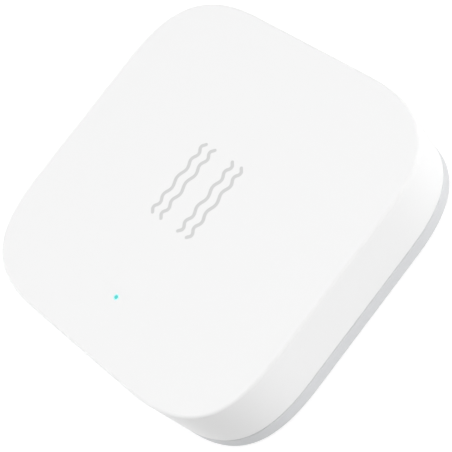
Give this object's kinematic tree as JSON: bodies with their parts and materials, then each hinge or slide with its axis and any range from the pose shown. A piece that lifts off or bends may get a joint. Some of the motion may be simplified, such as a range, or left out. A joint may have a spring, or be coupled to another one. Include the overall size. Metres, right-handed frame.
{
  "type": "vibration sensor tag",
  "caption": "Flat rounded-square wireless vibration sensor tag: white press-fit cover, grey base, coin-slot battery door, side reset button and a foam pad to stick it on by.",
  "frame": {"origin": "under the middle of the tag, on the underside of the foam pad it rests on", "axes": "+Z out of the face, -Y towards the status light, +Y towards the side with the reset button"},
  "size_m": [0.044, 0.044, 0.0113],
  "materials": {
    "cover_plastic": "moulded white ABS, fine satin",
    "base_plastic": "moulded light-grey ABS, fine satin",
    "foam_tape": "soft foam tape",
    "light_pipe_plastic": "clear acrylic, lit cyan",
    "black_plastic": "moulded black nylon",
    "spring_steel": "stamped stainless steel",
    "board_laminate": "glass-epoxy laminate under green solder mask",
    "cell_steel": "nickel-plated steel",
    "seal_plastic": "moulded polypropylene",
    "pressed_powder": "pressed manganese dioxide powder",
    "separator_felt": "non-woven polypropylene",
    "lithium": "rolled lithium foil",
    "contact_metal": "nickel-plated phosphor bronze",
    "chip_epoxy": "black moulding epoxy",
    "chip_ceramic": "fired ceramic",
    "led_plastic": "white chip LED body",
    "tantalum_epoxy": "yellow moulding epoxy",
    "ferrite": "dark fired ceramic"
  },
  "bodies": {
    "case": {"top_cover": "cover_plastic", "base_shell": "base_plastic", "adhesive_pad": "foam_tape", "light_pipe": "light_pipe_plastic", "switch_base": "black_plastic", "switch_dome": "spring_steel", "switch_frame": "spring_steel", "circuit_board": "board_laminate", "cell_can": "cell_steel", "cell_gasket": "seal_plastic", "cell_cap": "cell_steel", "cathode_pellet": "pressed_powder", "cell_separator": "separator_felt", "lithium_disc": "lithium", "battery_holder": "black_plastic", "positive_contacts": "contact_metal", "negative_contact": "contact_metal", "radio_chip": "chip_epoxy", "memory_chip": "chip_epoxy", "accelerometer": "chip_epoxy", "main_crystal": "spring_steel", "clock_crystal": "spring_steel", "chip_antenna": "chip_ceramic", "status_led": "led_plastic", "bulk_capacitor": "tantalum_epoxy", "inductor": "ferrite", "capacitors": "chip_ceramic", "resistors": "ferrite"},
    "button": {"reset_button": "cover_plastic"},
    "plunger": {"switch_plunger": "black_plastic"},
    "door": {"battery_door": "base_plastic"}
  },
  "joints": [
    {"name": "button_press", "type": "slide", "parent": "case", "child": "button", "axis": [0, -1, 0], "range_m": [0, 0.0003], "stiffness_N_per_m": 5000},
    {"name": "plunger_press", "type": "slide", "parent": "case", "child": "plunger", "axis": [0, -1, 0], "range_m": [0, 0.0003]},
    {"name": "door_turn", "type": "hinge", "parent": "case", "child": "door", "pos_m": [0, 0, 0.0009], "axis": [0, 0, -1], "range_deg": [0, 40]}
  ],
  "couplings": [
    {"joint": "plunger_press", "follows": "button_press", "ratio": 1}
  ]
}
